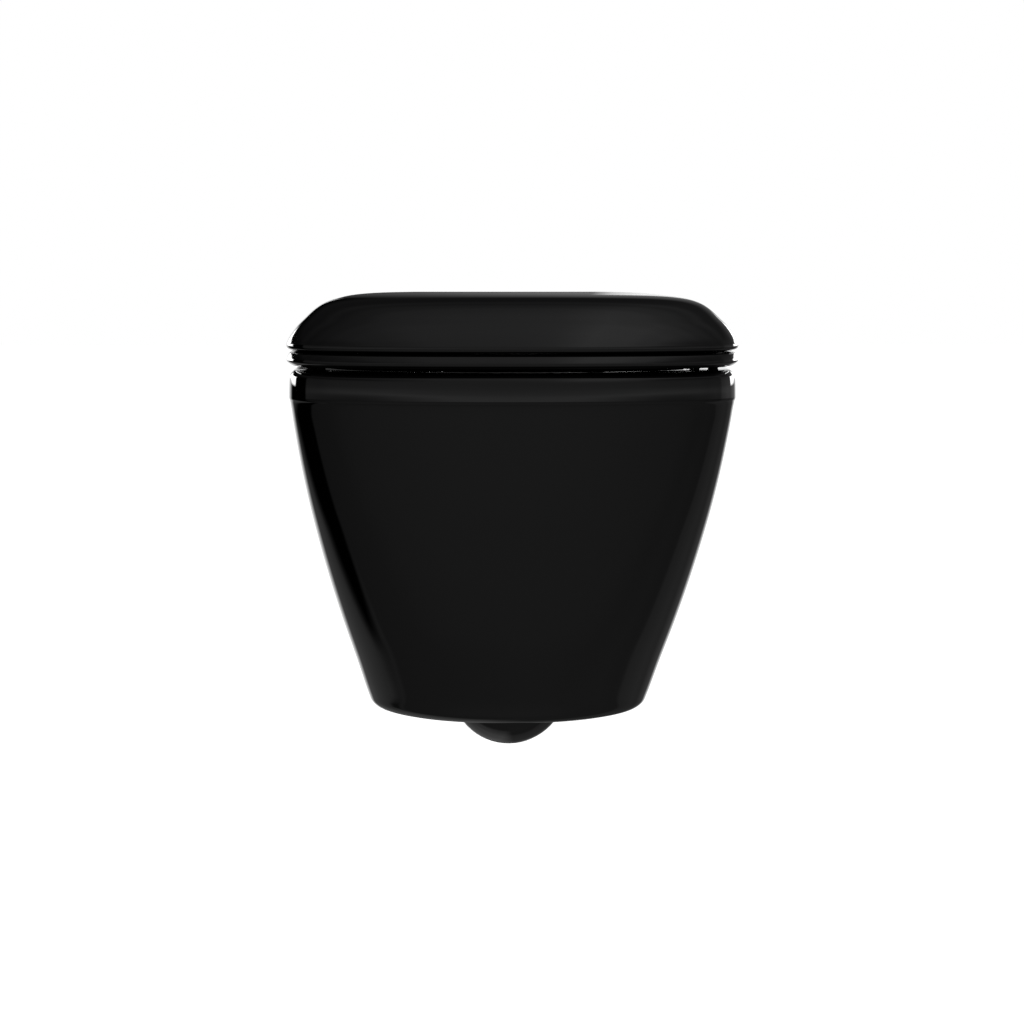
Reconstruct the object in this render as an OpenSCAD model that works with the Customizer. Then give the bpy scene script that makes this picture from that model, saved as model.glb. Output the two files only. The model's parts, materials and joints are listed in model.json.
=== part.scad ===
// Wall hung toilet pan with a domed lid, seat ring, soft close hinges and quick release catches.
// Origin: midpoint of the two wall studs on the wall plane. +Y into the wall, -Y to the front, +Z up.

/* [Pan] */
// Width of the pan at the rim
pan_w = 360; // [350:1:370]
// Projection from the wall to the front of the rim
pan_len = 530; // [520:1:560]
// Height of the rim above the wall studs
rim_h = 80; // [78:1:84]
// Depth of the pan body below the rim
pan_depth = 297; // [292:1:302]
// Wall thickness of the vitreous china
china_t = 11; // [10:0.5:13]
// Thickness of the deck that carries the hinges
deck_t = 13; // [12:0.5:16]
// Half width of the bowl opening at the rim
bowl_half_w = 147; // [140:1:150]
// Half length of the bowl opening at the rim
bowl_half_l = 178; // [170:1:182]
// Roundness of the plan, 2 is an ellipse
plan_power = 2.6; // [2.3:0.05:3]

/* [Wall connection] */
// Distance between the two wall studs
stud_gap = 180; // [180:50:230]
// Bore of the plastic sleeves for the wall studs
stud_bore = 13; // [13:0.5:14]
// Height of the flush inlet above the studs
inlet_h = 35; // [33:1:37]
// Bore of the flush inlet socket
inlet_bore = 55; // [55:1:57]
// Depth of the waste outlet below the studs
outlet_drop = 100; // [98:1:102]
// Outside diameter of the waste outlet
outlet_d = 102; // [100:1:104]

/* [Trap] */
// Bore of the trap passage
trap_bore = 72; // [66:1:72]
// Wall of the trap passage
trap_wall = 14; // [12:0.5:14]
// Depth of the lowest bend's centre below the studs
trap_drop = 195; // [192:1:197]

/* [Seat and lid] */
// Width of the seat and lid
seat_w = 364; // [360:1:368]
// Distance from the wall to the front of the seat
seat_len = 532; // [528:1:540]
// Half width of the opening in the seat ring
seat_open_w = 112; // [105:1:118]
// Half length of the opening in the seat ring
seat_open_l = 142; // [135:1:148]
// Wall thickness of the lid shell
lid_t = 5; // [4:0.5:6]

/* [Hinges] */
// Distance between the two hinge fixings
hinge_gap = 155; // [150:1:160]
// Distance of the hinge axis from the wall
axis_back = 66; // [64:1:70]
// Height of the hinge axis above the rim
axis_up = 35; // [34:0.5:36]
// Radius of the hinge knuckles
knuckle_r = 11; // [10.8:0.1:11.5]
// Width of the hinge block between the knuckles
block_w = 27; // [26:1:28]
// Travel of the release catch
catch_travel = 3; // [2.5:0.1:3]

/* [Hidden] */
$fn = 64;
eps = 0.01;
arc_n = 26;
china = [0.07, 0.07, 0.075];
plastic = [0.08, 0.08, 0.085];
axis_z = rim_h + axis_up;
half = pan_w / 2;
seat_half = seat_w / 2;
fix_x = hinge_gap / 2;
stud_x = stud_gap / 2;
// how far the pan narrows and where its front and its straight sides end, at each depth under the rim:
// depth share, inset, front pull-back, straight side length
pan_rings = [[1, 70, 228, 150], [0.983, 62.5, 216, 158], [0.95, 58.5, 205, 165], [0.85, 50, 170, 188],
    [0.73, 39.3, 130, 215], [0.607, 29.3, 96, 243], [0.49, 20.9, 68, 270], [0.373, 13.6, 44, 298],
    [0.257, 7.5, 25, 322], [0.143, 2.7, 10, 345], [0.087, 0.6, 2.6, 357], [0.078, 0, 0, 360],
    [0.03, 0, 0, 360], [0.02, 0.6, 0.5, 359], [0.008, 2.6, 3, 356], [0, 6, 7, 352]];
cavity_rings = [[0.963, 72, 222, 150], [0.85, 61, 184, 176], [0.73, 50.3, 143, 203], [0.607, 40.3, 109, 231],
    [0.49, 31.9, 81, 258], [0.373, 24.6, 57, 286], [0.257, 18.5, 38, 310], [0.143, 13.7, 23, 333],
    [0.04, 11.3, 13, 346]];
// bowl sections: height above the studs, width share, length share, centre distance from the wall
bowl_rings = [[-192, 0.22, 0.2, 253], [-170, 0.25, 0.24, 255], [-145, 0.3, 0.32, 260],
    [-115, 0.41, 0.45, 270], [-80, 0.585, 0.62, 285], [-40, 0.76, 0.775, 298], [0, 0.89, 0.9, 306],
    [40, 0.973, 0.975, 311], [70, 0.99, 0.992, 312], [77, 1, 1, 312], [81, 1.025, 1.02, 312]];
// trap passage: distance from the wall, height, growth of the radius; a low bend, then the weir bend
dip_r = 54;
weir_r = 50;
trap_path = concat(
    [for (a = [75:-15:-90]) [207 + dip_r * sin(a), -trap_drop + dip_r - dip_r * cos(a), 0]],
    [for (b = [15:15:90]) [102 + weir_r * cos(b), -126 + weir_r * sin(b), -b / 30]],
    [[84, -79, -4], [68, -87, -3.5], [54, -93.5, -2.5], [40, -98, -2], [22, -100, -2]]);
outlet_wall = 8;
spigot_len = 36;
// web across the back at the studs, and the small one under the outlet
back_web_t = 16;
web_low = -20;
foot_web_w = 70;
foot_web_t = 14;
foot_low = -215;
foot_top = -168;
// lid and seat edge sections: height above the rim, inset
lid_rings = [[15.2, 3.2], [16.6, 0.6], [18.2, 0], [20.4, 0.2], [24.3, 1.9], [30.7, 6], [35.6, 10],
    [40.5, 15], [45.3, 20], [48.6, 24], [51.8, 29], [55, 37], [57, 46], [58.6, 60], [60, 90]];
lid_cavity_rings = [[14, 6], [20.4, 5.4], [25, 7.5], [31, 12], [36, 17], [41, 22.5], [44.5, 27],
    [48, 34], [51, 44], [53, 58], [54.6, 88]];
seat_rings = [[2.6, 5], [4, 2.8], [5.6, 0.6], [7, 0], [8.4, 0.2], [11, 1.3], [13.2, 2.6], [14, 4.6]];
lid_rear = 84;
seat_rear = 81;
// bumper places: distance to the side, distance from the wall
seat_bumper_at = [[161, 385], [161, 165]];
lid_bumper_at = [[118, 462], [144, 180]];
seat_pad_r = 4.5;
lid_pad_r = 5.5;
boss_len = 31.5;
damper_r = 8;
damper_len = 34;
shaft_r = 4;
fit = 0.05;
deck_hole_r = 7.2;
neck_r = 2.8;
block_r = 14;
block_low = 4.6;
catch_low = 13.7;
catch_t = 2.6;

function bend(v, power) = sign(v) * pow(abs(v), 2 / power);

// a D shaped loop seen from above, clockwise, flat at the back
function plan(w, back, front, side, power, z) = concat(
    [[w, -back, z]],
    [for (i = [0:arc_n]) let (t = 180 * i / arc_n)
        [w * bend(cos(t), power), -side - (front - side) * bend(sin(t), power), z]],
    [[-w, -back, z]]);

// a rounded loop about a centre, clockwise seen from above
function oval(w, l, centre, power, z) = [for (i = [0:39]) let (t = -9 * i)
    [w * bend(cos(t), power), -centre + l * bend(sin(t), power), z]];

// a circle square to the trap path
function hoop(p, q, at, r) = let (d = [q[0] - p[0], q[1] - p[1]], u = d / norm(d))
    [for (i = [0:23]) let (t = 15 * i)
        [r * cos(t), -(at[0] + r * sin(t) * u[1]), at[1] - r * sin(t) * u[0]]];

module loft(rings) {
    n = len(rings[0]);
    last = (len(rings) - 1) * n;
    sides = [for (j = [0:len(rings) - 2], i = [0:n - 1])
        let (a = j * n + i, b = j * n + (i + 1) % n)
        each [[a, b, b + n], [a, b + n, a + n]]];
    polyhedron([for (r = rings) each r],
        concat([[for (i = [n - 1:-1:0]) i]], sides, [[for (i = [0:n - 1]) last + i]]));
}

module pair() {
    children();
    mirror([1, 0, 0]) children();
}

// places a shape drawn along +Z so that it lies along +X on the hinge axis
module on_axis(x) {
    translate([x, -axis_back, axis_z]) rotate([0, 90, 0]) children();
}

// places a shape drawn along +Z so that it runs from the wall plane to the front
module to_front(x, z) {
    translate([x, 0, z]) rotate([90, 0, 0]) children();
}

module pan_shell() {
    difference() {
        loft([for (r = pan_rings) plan(half - r[1], 0, pan_len - r[2], r[3], plan_power - 0.4 * r[0],
            rim_h - pan_depth * r[0])]);
        loft([for (r = cavity_rings) plan(half - r[1] - (china_t - 11), -1, pan_len - r[2] - (china_t - 11),
            r[3], plan_power - 0.4 * r[0], rim_h - max(pan_depth * r[0], deck_t))]);
    }
}

module trap_tube(r) {
    n = len(trap_path);
    loft([for (i = [0:n - 1])
        hoop(trap_path[max(i - 1, 0)], trap_path[min(i + 1, n - 1)], trap_path[i], r + trap_path[i][2])]);
}

module pan() {
    color(china)
    difference() {
        union() {
            pan_shell();
            loft([for (r = bowl_rings) if (r[0] < 72)
                oval(bowl_half_w * r[1] + china_t, bowl_half_l * r[2] + china_t, r[3], plan_power,
                    r[0] - (r[0] < 30 ? china_t : 0))]);
            trap_tube(trap_bore / 2 + trap_wall);
            to_front(0, -outlet_drop) cylinder(r = outlet_d / 2, h = spigot_len);
            to_front(0, inlet_h) cylinder(r = inlet_bore / 2 + 9, h = 150);
            translate([18 - half, -back_web_t, web_low]) cube([2 * (half - 18), back_web_t, rim_h - 10 - web_low]);
            translate([-foot_web_w / 2, -foot_web_t, foot_low]) cube([foot_web_w, foot_web_t, foot_top - foot_low]);
            pair() to_front(stud_x, 0) cylinder(r = 24, h = 28);
        }
        loft([for (r = bowl_rings) oval(bowl_half_w * r[1], bowl_half_l * r[2], r[3], plan_power, r[0])]);
        trap_tube(trap_bore / 2);
        to_front(0, -outlet_drop) translate([0, 0, -1]) cylinder(r = outlet_d / 2 - outlet_wall, h = spigot_len - 3);
        to_front(0, inlet_h) translate([0, 0, -1]) cylinder(r = inlet_bore / 2, h = 61);
        to_front(0, inlet_h) cylinder(r = 22, h = 200);
        pair() to_front(stud_x, 0) translate([0, 0, -1]) cylinder(r = 10, h = 40);
        pair() translate([fix_x, -axis_back, rim_h - deck_t - 5]) cylinder(r = deck_hole_r, h = deck_t + 10);
        pair() translate([half - 30, -42, 0]) rotate([0, 90, 0]) cylinder(r = 12, h = 60);
    }
}

module stud_sleeves() {
    color("gainsboro")
    pair() to_front(stud_x, 0) difference() {
        union() {
            cylinder(r = 9.8, h = 28.2);
            translate([0, 0, 28.2]) cylinder(r = 14, h = 3);
        }
        translate([0, 0, -1]) cylinder(r = stud_bore / 2, h = 40);
    }
}

module access_plugs() {
    color(china)
    pair() translate([half - 23, -42, 0]) rotate([0, 90, 0]) difference() {
        union() {
            cylinder(r = 11.8, h = 13.5);
            translate([0, 0, -2]) cylinder(r = 10.6, h = 3);
        }
        translate([0, 0, -3]) cylinder(r = 9, h = 12);
    }
}

module flow_guide() {
    color("dimgray") {
        difference() {
            union() {
                to_front(0, inlet_h) translate([0, 0, 118]) cylinder(r = 21.5, h = 26);
                translate([0, -152, inlet_h - 4]) cube([86, 4, 52], center = true);
                translate([0, -146, inlet_h]) cube([5, 12, 40], center = true);
                translate([0, -147, inlet_h + 20.5]) cube([86, 14, 3], center = true);
            }
            to_front(0, inlet_h) translate([0, 0, 117]) cylinder(r = 18.5, h = 25);
        }
    }
}

module hinge_posts() {
    color("silver")
    pair() translate([fix_x, -axis_back, rim_h]) rotate_extrude()
        polygon([[0, -42], [4, -42], [4, 1.8], [10, 1.8], [10, 4.2], [4.6, 4.2], [4.6, 13], [neck_r, 13],
            [neck_r, 17], [5, 17], [5, 19.5], [2.5, 23.5], [0, 23.5]]);
}

module hinge_rosettes() {
    color("silver")
    pair() translate([fix_x, -axis_back, rim_h]) rotate_extrude()
        polygon([[5, 0], [21, 0], [21, 0.9], [20, 1.7], [5, 1.7]]);
}

module expansion_sleeves() {
    color([0.12, 0.12, 0.12])
    pair() translate([fix_x, -axis_back, rim_h]) rotate_extrude()
        polygon([[4.4, -1], [6.9, -1], [6.9, -14], [8.6, -17], [8.6, -25], [6.9, -30], [4.4, -30]]);
}

module expansion_nuts() {
    color("goldenrod")
    pair() translate([fix_x, -axis_back, rim_h - 40]) difference() {
        union() {
            cylinder(r = 7, h = 7);
            cylinder(r = 5.8, h = 9.9);
        }
        translate([0, 0, -1]) cylinder(r = shaft_r + fit, h = 12);
    }
}

// shaft end with two flats
module flatted(r, h) {
    intersection() {
        cylinder(r = r, h = h);
        translate([-r, -r * 0.72, 0]) cube([2 * r, 2 * r * 0.72, h]);
    }
}

// left block, post axis at the origin, rim at z = 0; the damper shaft enters from the side given
module hinge_block() {
    difference() {
        union() {
            translate([-block_w / 2, -block_r, block_low]) cube([block_w, 2 * block_r, axis_up - block_low]);
            translate([-block_w / 2, 0, axis_up]) rotate([0, 90, 0]) cylinder(r = block_r, h = block_w);
        }
        translate([0, 0, block_low - 1]) cylinder(r = 5.4, h = 25.5 - block_low);
        translate([-8, -11.2, catch_low - 0.3]) cube([16, 22.4, catch_t + 0.6]);
        translate([0, 20, catch_low + catch_t / 2]) rotate([90, 0, 0]) cylinder(r = 5.8, h = 12);
        translate([0, -6.8, catch_low + catch_t / 2]) rotate([90, 0, 0]) cylinder(r = 3, h = 6.3);
        translate([-block_w / 2 - 1, 0, axis_up]) rotate([0, 90, 0]) flatted(shaft_r + fit, 11);
        translate([block_w / 2 - 10, 0, axis_up]) rotate([0, 90, 0]) flatted(shaft_r + fit, 11);
    }
}

module hinge_block_left() {
    color("silver") translate([-fix_x, -axis_back, rim_h]) hinge_block();
}

module hinge_block_right() {
    color("silver") translate([fix_x, -axis_back, rim_h]) hinge_block();
}

module release_catch() {
    difference() {
        union() {
            translate([-7.6, -7.2, catch_low]) cube([15.2, 15.4, catch_t]);
            translate([0, 17, catch_low + catch_t / 2]) rotate([90, 0, 0]) cylinder(r = 5.5, h = 5.4);
            translate([-3, 8, catch_low]) cube([6, 4, catch_t]);
        }
        translate([0, catch_travel, catch_low - 1]) cylinder(r = 5.3, h = catch_t + 2);
        translate([-neck_r - 0.3, -3.1, catch_low - 1]) cube([2 * neck_r + 0.6, 5, catch_t + 2]);
    }
}

module release_catch_left() {
    color("silver") translate([-fix_x, -axis_back, rim_h]) release_catch();
}

module release_catch_right() {
    color("silver") translate([fix_x, -axis_back, rim_h]) release_catch();
}

// compression spring drawn as a stack of coils joined by a thin spine
module catch_spring() {
    translate([0, -7.4, catch_low + catch_t / 2]) rotate([90, 0, 0]) difference() {
        union() for (i = [0:3]) translate([0, 0, 0.6 + i * 1.45]) rotate_extrude($fn = 24)
            translate([1.9, 0]) circle(r = 0.45, $fn = 16);
    }
}

module catch_spring_left() {
    color("gray") translate([-fix_x, -axis_back, rim_h]) catch_spring();
}

module catch_spring_right() {
    color("gray") translate([fix_x, -axis_back, rim_h]) catch_spring();
}

// one knuckle from x to x + length on the hinge axis
module knuckle(x, length) {
    on_axis(x) cylinder(r = knuckle_r, h = length);
}

module seat_arm(x, length) {
    knuckle(x, length);
    translate([x, -axis_back - 15.5, rim_h + 8]) cube([length, 15.5 + 9, axis_up - 8]);
    translate([x, -axis_back - 23, rim_h + 3.4]) cube([length, 23 + 9, 10]);
}

module lid_arm(x, length) {
    knuckle(x, length);
    translate([x, -lid_rear - 5, axis_z - 10]) cube([length, lid_rear - axis_back + 5, 20]);
}

seat_knuckle_x = fix_x + block_w / 2 + 0.4;
lid_knuckle_x = fix_x - block_w / 2 - 0.4;
seat_knuckle_len = 39;
lid_knuckle_len = 40;

module seat_ring() {
    color(plastic)
    difference() {
        union() {
            loft([for (r = seat_rings)
                plan(seat_half - r[1], seat_rear + r[1], seat_len - r[1], 360, plan_power, rim_h + r[0])]);
            pair() seat_arm(seat_knuckle_x, seat_knuckle_len);
        }
        loft([for (r = [[1, 1.5], [4, 0.5], [8, 0], [12, 1], [15, 4.5]])
            oval(seat_open_w + r[1], seat_open_l + r[1], 312, 2.3, rim_h + r[0])]);
        on_axis(seat_knuckle_x - 1) cylinder(r = damper_r + fit, h = damper_len + 3.1);
        on_axis(-seat_knuckle_x - 22) cylinder(r = damper_r + fit, h = 23);
        for (p = seat_bumper_at) pair() translate([p[0], -p[1], rim_h]) cylinder(r = 3.05, h = 8);
    }
}

module seat_bumpers() {
    color([0.1, 0.1, 0.1])
    for (p = seat_bumper_at) pair() translate([p[0], -p[1], rim_h]) {
        cylinder(r1 = seat_pad_r - 0.5, r2 = seat_pad_r, h = 2.55);
        cylinder(r = 3, h = 7.8);
    }
}

module lid() {
    color(plastic)
    difference() {
        union() {
            difference() {
                loft([for (r = lid_rings)
                    plan(seat_half - r[1], lid_rear + 0.36 * r[1], seat_len - r[1], 360, plan_power, rim_h + r[0])]);
                loft([for (r = lid_cavity_rings) plan(seat_half - r[1] - (lid_t - 5), lid_rear + lid_t + 0.36 * r[1],
                    seat_len - r[1] - (lid_t - 5), 360, plan_power, rim_h + r[0])]);
            }
            pair() lid_arm(lid_knuckle_x - lid_knuckle_len, lid_knuckle_len);
            for (p = lid_bumper_at) pair() translate([p[0], -p[1], rim_h + 17]) cylinder(r = 7, h = boss_len);
        }
        on_axis(-lid_knuckle_x + 1 - eps) translate([0, 0, -2])
            cylinder(r = damper_r + fit, h = damper_len + 3.1);
        on_axis(lid_knuckle_x - 22) cylinder(r = damper_r + fit, h = 23);
        for (p = lid_bumper_at) pair() translate([p[0], -p[1], rim_h + 16]) cylinder(r = 3.05, h = 6);
    }
}

module lid_bumpers() {
    color([0.1, 0.1, 0.1])
    for (p = lid_bumper_at) pair() translate([p[0], -p[1], rim_h + 14.05]) {
        cylinder(r1 = lid_pad_r - 0.5, r2 = lid_pad_r, h = 2.9);
        cylinder(r = 3, h = 7.8);
    }
}

// damper housing drawn along +Z from its open shaft end
module damper_body() {
    difference() {
        cylinder(r = damper_r, h = damper_len);
        translate([0, 0, -1]) cylinder(r = 6.2, h = damper_len - 2);
    }
}

// rotor with its flatted shaft reaching back out of the housing
module damper_rotor() {
    cylinder(r = 5.9, h = damper_len - 8);
    translate([0, 0, -4]) cylinder(r = shaft_r, h = 5);
    translate([0, 0, -13]) flatted(shaft_r, 10);
}

module damper_cap() {
    difference() {
        cylinder(r = 6.15, h = 3);
        translate([0, 0, -1]) cylinder(r = shaft_r + fit, h = 5);
    }
}

// plain pin with flats at its inner end, drawn along +Z from the block's face
module plain_pin() {
    translate([0, 0, -9]) flatted(shaft_r, 10);
    cylinder(r = shaft_r, h = 18);
    translate([0, 0, 18]) cylinder(r1 = shaft_r, r2 = shaft_r - 1, h = 1);
}

module plain_bush() {
    difference() {
        cylinder(r = damper_r, h = 20);
        translate([0, 0, -1]) cylinder(r = shaft_r + fit, h = 22);
    }
}

module seat_damper_body() {
    color("dimgray") on_axis(seat_knuckle_x + 1) damper_body();
}

module seat_damper_rotor() {
    color("silver") on_axis(seat_knuckle_x + 1 + 3.4) damper_rotor();
}

module seat_damper_cap() {
    color("gray") on_axis(seat_knuckle_x + 1) damper_cap();
}

module seat_pin() {
    color("silver") on_axis(-seat_knuckle_x + 0.4) mirror([0, 0, 1]) plain_pin();
}

module seat_bush() {
    color("gainsboro") on_axis(-seat_knuckle_x - 0.5) mirror([0, 0, 1]) plain_bush();
}

module lid_damper_body() {
    color("dimgray") on_axis(-lid_knuckle_x + 1) damper_body();
}

module lid_damper_rotor() {
    color("silver") on_axis(-lid_knuckle_x + 1 + 3.4) damper_rotor();
}

module lid_damper_cap() {
    color("gray") on_axis(-lid_knuckle_x + 1) damper_cap();
}

module lid_pin() {
    color("silver") on_axis(lid_knuckle_x + 0.4) mirror([0, 0, 1]) plain_pin();
}

module lid_bush() {
    color("gainsboro") on_axis(lid_knuckle_x - 0.5) mirror([0, 0, 1]) plain_bush();
}

pan();
stud_sleeves();
access_plugs();
flow_guide();
hinge_posts();
hinge_rosettes();
expansion_sleeves();
expansion_nuts();
hinge_block_left();
hinge_block_right();
release_catch_left();
release_catch_right();
catch_spring_left();
catch_spring_right();
seat_ring();
seat_bumpers();
seat_damper_body();
seat_damper_rotor();
seat_damper_cap();
seat_pin();
seat_bush();
lid();
lid_bumpers();
lid_damper_body();
lid_damper_rotor();
lid_damper_cap();
lid_pin();
lid_bush();
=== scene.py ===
"""Wall-hung toilet: glazed pan, domed lid, seat ring, pads, fittings and a studio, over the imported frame."""
import json
import math

import bmesh
import bpy
from bpy.props import FloatProperty, FloatVectorProperty, IntProperty, PointerProperty
from mathutils import Matrix, Vector


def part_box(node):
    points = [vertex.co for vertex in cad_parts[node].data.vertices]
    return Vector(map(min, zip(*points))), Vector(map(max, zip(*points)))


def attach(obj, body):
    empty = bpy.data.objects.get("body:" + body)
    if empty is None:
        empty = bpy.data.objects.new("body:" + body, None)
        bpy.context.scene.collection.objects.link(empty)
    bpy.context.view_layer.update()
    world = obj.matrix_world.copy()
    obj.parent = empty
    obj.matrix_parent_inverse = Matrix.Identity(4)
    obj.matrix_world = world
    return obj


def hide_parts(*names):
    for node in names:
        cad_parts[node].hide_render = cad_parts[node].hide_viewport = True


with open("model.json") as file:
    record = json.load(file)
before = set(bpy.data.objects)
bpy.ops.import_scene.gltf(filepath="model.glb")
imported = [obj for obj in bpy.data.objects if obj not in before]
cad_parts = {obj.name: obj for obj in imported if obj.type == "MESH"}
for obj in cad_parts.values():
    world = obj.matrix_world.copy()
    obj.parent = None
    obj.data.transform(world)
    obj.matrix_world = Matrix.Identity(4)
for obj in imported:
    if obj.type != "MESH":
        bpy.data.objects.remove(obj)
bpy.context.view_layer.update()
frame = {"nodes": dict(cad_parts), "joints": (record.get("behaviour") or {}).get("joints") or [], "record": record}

bl_info = {
    "name": "Wall-Hung Toilet",
    "version": (1, 0, 0),
    "blender": (4, 5, 0),
    "location": "3D View > Sidebar > Toilet",
    "description": "Builds a gloss black wall-hung toilet with a soft-close seat",
    "category": "Add Mesh",
}

MM = 0.001
LID_LOW, LID_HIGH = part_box("lid")
SEAT_LOW, SEAT_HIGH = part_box("seat_ring")
PAN_LOW, PAN_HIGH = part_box("pan")
RIM = PAN_HIGH[2]
HINGE = next(j for j in frame["joints"] if j["name"] == "seat_hinge")["pos_m"]

# where the pan's straight sides end, in metres, which the camera is set out from
WIDEST_Y = -0.36
# depth share, inset, front pull-back, straight side length in mm: the pan's skin from rim to underside
PAN_ROWS = [
    (0, 8.5, 10, 350), (0.0005, 6, 7, 352), (0.003, 4.2, 4.8, 354), (0.009, 2.2, 2.6, 356),
    (0.018, 0.75, 0.8, 359), (0.03, 0.38, 0.4, 359.5), (0.045, 0.14, 0.15, 360), (0.06, 0.03, 0.03, 360),
    (0.077, 0, 0, 360), (0.086, 0.6, 2.4, 357.5), (0.105, 1.4, 5.4, 352.5), (0.143, 2.7, 10, 345),
    (0.257, 7.5, 25, 322), (0.373, 13.6, 44, 298), (0.49, 20.9, 68, 270), (0.607, 29.3, 96, 243),
    (0.73, 39.3, 130, 215), (0.85, 50, 170, 188), (0.95, 58.5, 205, 165), (0.98, 61.8, 214, 159),
    (0.993, 66, 221, 154), (1, 73, 230, 148),
]
# the same for the hollow in its back, from the underside up
CAVITY_ROWS = [
    (0.963, 72, 222, 150), (0.85, 61, 184, 176), (0.73, 50.3, 143, 203), (0.607, 40.3, 109, 231),
    (0.49, 31.9, 81, 258), (0.373, 24.6, 57, 286), (0.257, 18.5, 38, 310), (0.143, 13.7, 23, 333),
    (0.04, 11.3, 13, 346),
]
# height in mm, width share, length share, centre distance from the wall: the bowl from sump to rim
BOWL_ROWS = [
    (-192, 0.22, 0.2, 253), (-170, 0.25, 0.24, 255), (-145, 0.3, 0.32, 260), (-115, 0.41, 0.45, 270),
    (-80, 0.585, 0.62, 285), (-40, 0.76, 0.775, 298), (0, 0.89, 0.9, 306), (40, 0.973, 0.975, 311),
    (70, 0.99, 0.992, 312), (75, 1, 1, 312), (77.5, 1.005, 1.005, 312), (79.2, 1.016, 1.014, 312),
    (80.4, 1.04, 1.034, 312), (81.5, 1.06, 1.05, 312),
]
# how far the outline's squareness falls from the rim to the underside
SQUARENESS_DROP = 0.4
# the pan's inside in mm, with heights from the wall studs: outer, bore, lug and hole are radii
DECK = 13
BACK_WEB_INSET, BACK_WEB_DEPTH, BACK_WEB_LOW, BACK_WEB_HIGH = 18, 16, -20, 70
FOOT_WEB_HALF, FOOT_WEB_DEPTH, FOOT_WEB_LOW, FOOT_WEB_HIGH = 35, 14, -215, -168
BOWL_HALF, BOWL_LONG, BOWL_WALL, BOWL_STRAIGHT, BOWL_LIP = 147, 178, 11, 30, 72
TRAP_OUTER, TRAP_BORE = 50, 36
# the trap's two bends as (distance from the wall, height, radius), and its last points as (distance from the
# wall, height, growth of the radius)
LOW_BEND, WEIR_BEND = (207, -141, 54), (102, -126, 50)
TRAP_RUN_OUT = [(84, -79, -4), (68, -87, -3.5), (54, -93.5, -2.5), (40, -98, -2), (22, -100, -2)]
OUTLET_OUTER, OUTLET_BORE, OUTLET_UP, OUTLET_LONG = 51, 43, -100, 36
INLET_OUTER, INLET_BORE, INLET_UP, INLET_LONG, INLET_BORE_LONG = 36.5, 27.5, 35, 150, 60
INLET_WAY, INLET_WAY_LONG = 22, 200
STUD_SIDE, STUD_LUG, STUD_LUG_LONG, STUD_HOLE, STUD_HOLE_LONG = 90, 24, 28, 10, 39
POST_SIDE, POST_BACK, POST_HOLE, POST_HOLE_LOW, POST_HOLE_HIGH = 77.5, 66, 7.2, 62, 85
PLUG_BACK, PLUG_HOLE, PLUG_HOLE_IN, PLUG_HOLE_OUT = 42, 12, 150, 210
# the seat and lid in mm from the middle plane and the wall: knuckle, bore, hole and boss are radii
KNUCKLE, HINGE_BORE, PAD_HOLE = 11, 8.05, 3.05
STRAIGHT_SIDE = 360
SEAT_REAR, SEAT_HOLE_CENTRE, SEAT_HOLE_SQUARENESS = 81, 312, 2.3
SEAT_ARM, SEAT_ARM_LONG, SEAT_DAMPER_END, SEAT_BUSH_END = 91.4, 39, 127.5, 113.4
SEAT_TOP = 14.05
LID_REAR, LID_HOLLOW_REAR, LID_REAR_LEAN = 84, 89, 0.36
LID_ARM, LID_ARM_LONG, LID_ARM_THICK, LID_DAMPER_END, LID_BUSH_END = 23.6, 40, 20, 27.5, 41.6
BOSS, BOSS_LOW, BOSS_HIGH = 7, 17, 48.5
# height above the rim and growth in mm: the seat's hole from its lower lip to its upper one
SEAT_LIP_ROWS = [
    (1, 4.5), (2.7, 4), (3.6, 2.2), (5.5, 0.8), (8, 0), (10.5, 0.6), (12.4, 2.2), (13.6, 4.4), (14.2, 7),
    (15, 9),
]
# height above the rim and inset in mm: lid skin, lid hollow, seat skin
LID_ROWS = [
    (15.2, 4.5), (15.3, 3.4), (15.8, 1.8), (16.6, 0.7), (17.6, 0.1), (18.6, 0), (20.2, 0.1), (21.2, 0.5),
    (24.3, 1.9), (30.7, 6), (35.6, 10), (40.5, 15), (45.3, 20), (48.6, 24), (51.8, 29), (55, 37), (57, 46),
    (58.6, 60), (59.6, 80), (60, 100),
]
LID_HOLLOW_ROWS = [
    (14, 6), (20.4, 5.4), (25, 7.5), (31, 12), (36, 17), (41, 22.5), (44.5, 27), (48, 34), (51, 44),
    (53, 58), (54.6, 88),
]
SEAT_ROWS = [
    (2.6, 6.2), (2.65, 5), (3.2, 3.9), (4.2, 2.4), (5.6, 0.7), (6.4, 0.15), (7.2, 0), (8.2, 0.15),
    (9.4, 0.55), (11, 1.2), (12.4, 1.9), (13.3, 2.7), (13.8, 3.8), (14, 5.2),
]

# direction to the wall and down, square to the edge of the dark area that the left side mirrors
STUDIO_SLANT = (0, 0.876, -0.482)
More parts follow.
